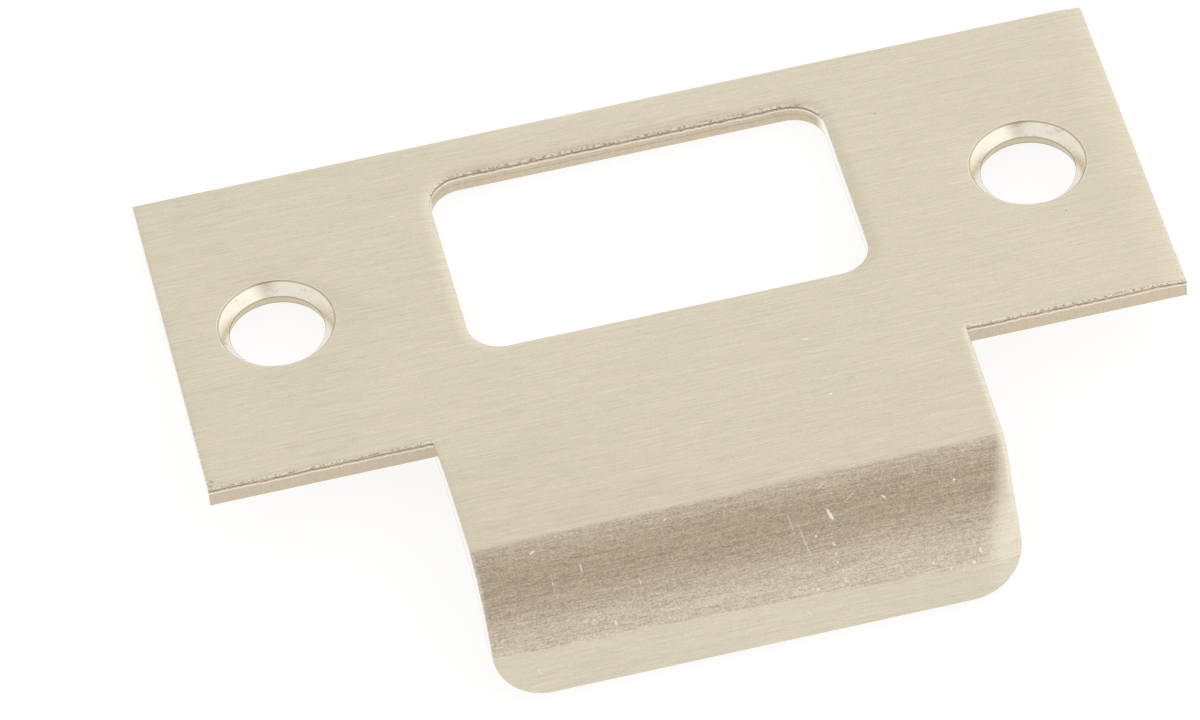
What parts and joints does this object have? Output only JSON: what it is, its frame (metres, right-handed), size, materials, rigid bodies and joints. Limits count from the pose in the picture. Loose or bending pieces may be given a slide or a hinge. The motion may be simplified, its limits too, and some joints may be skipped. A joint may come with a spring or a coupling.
{
  "type": "door strike plate",
  "caption": "T-shaped door strike plate with a latch opening, countersunk screw holes and a lip that curves down to guide the latch bolt.",
  "frame": {"origin": "on the back face, midway between the two screw holes", "axes": "+X along the plate, +Y in the plane of the plate and away from the lip, +Z out of the face"},
  "size_m": [0.0698, 0.0454, 0.0096],
  "materials": {
    "satin_nickel": "satin nickel, brushed along the plate"
  },
  "bodies": {
    "root": {"strike_plate": "satin_nickel"}
  },
  "joints": []
}
